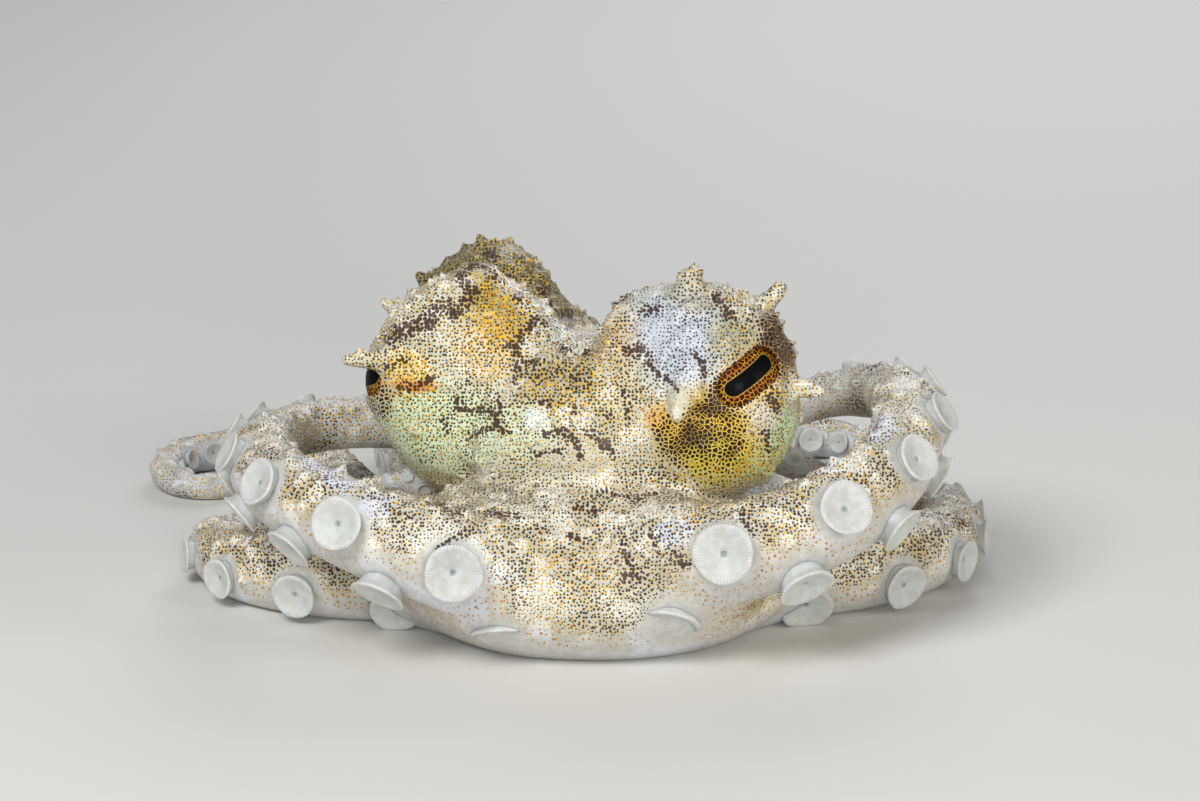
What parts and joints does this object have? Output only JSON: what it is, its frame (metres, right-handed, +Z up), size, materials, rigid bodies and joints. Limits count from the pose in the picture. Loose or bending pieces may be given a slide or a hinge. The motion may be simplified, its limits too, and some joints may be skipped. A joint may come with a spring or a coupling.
{
  "type": "octopus",
  "caption": "Young octopus sitting on its web with raised front arms, suckers outwards, raised eyes and a mantle sack behind, as a still life-size model.",
  "frame": {"origin": "on the floor under the middle of the head, on the flat underside of the web", "axes": "+Z up, +X to the right seen from the front (the animal's left), +Y to the back, along the mantle"},
  "size_m": [0.0319, 0.0317, 0.0133],
  "materials": {
    "skin": "wet, soft, speckled",
    "eye": "glossy"
  },
  "bodies": {
    "root": {"eye_left": "eye", "eye_right": "eye", "head": "skin", "horn_left_rear_top": "skin", "horn_left_rear_low": "skin", "horn_left_front": "skin", "horn_left_crown": "skin", "horn_right_brow": "skin", "horn_right_rear_top": "skin", "horn_right_rear_low": "skin", "horn_right_crown": "skin", "web": "skin", "mantle": "skin", "funnel": "skin", "arm_left_1_base": "skin", "arm_left_1_middle": "skin", "arm_left_1_tip": "skin", "arm_right_1_base": "skin", "arm_right_1_middle": "skin", "arm_right_1_tip": "skin", "arm_left_2_base": "skin", "arm_left_2_middle": "skin", "arm_left_2_tip": "skin", "arm_right_2_base": "skin", "arm_right_2_middle": "skin", "arm_right_2_tip": "skin", "arm_left_3_base": "skin", "arm_left_3_middle": "skin", "arm_left_3_tip": "skin", "arm_right_3_base": "skin", "arm_right_3_middle": "skin", "arm_right_3_tip": "skin", "arm_left_4_base": "skin", "arm_left_4_middle": "skin", "arm_left_4_tip": "skin", "arm_right_4_base": "skin", "arm_right_4_middle": "skin", "arm_right_4_tip": "skin"}
  },
  "joints": []
}
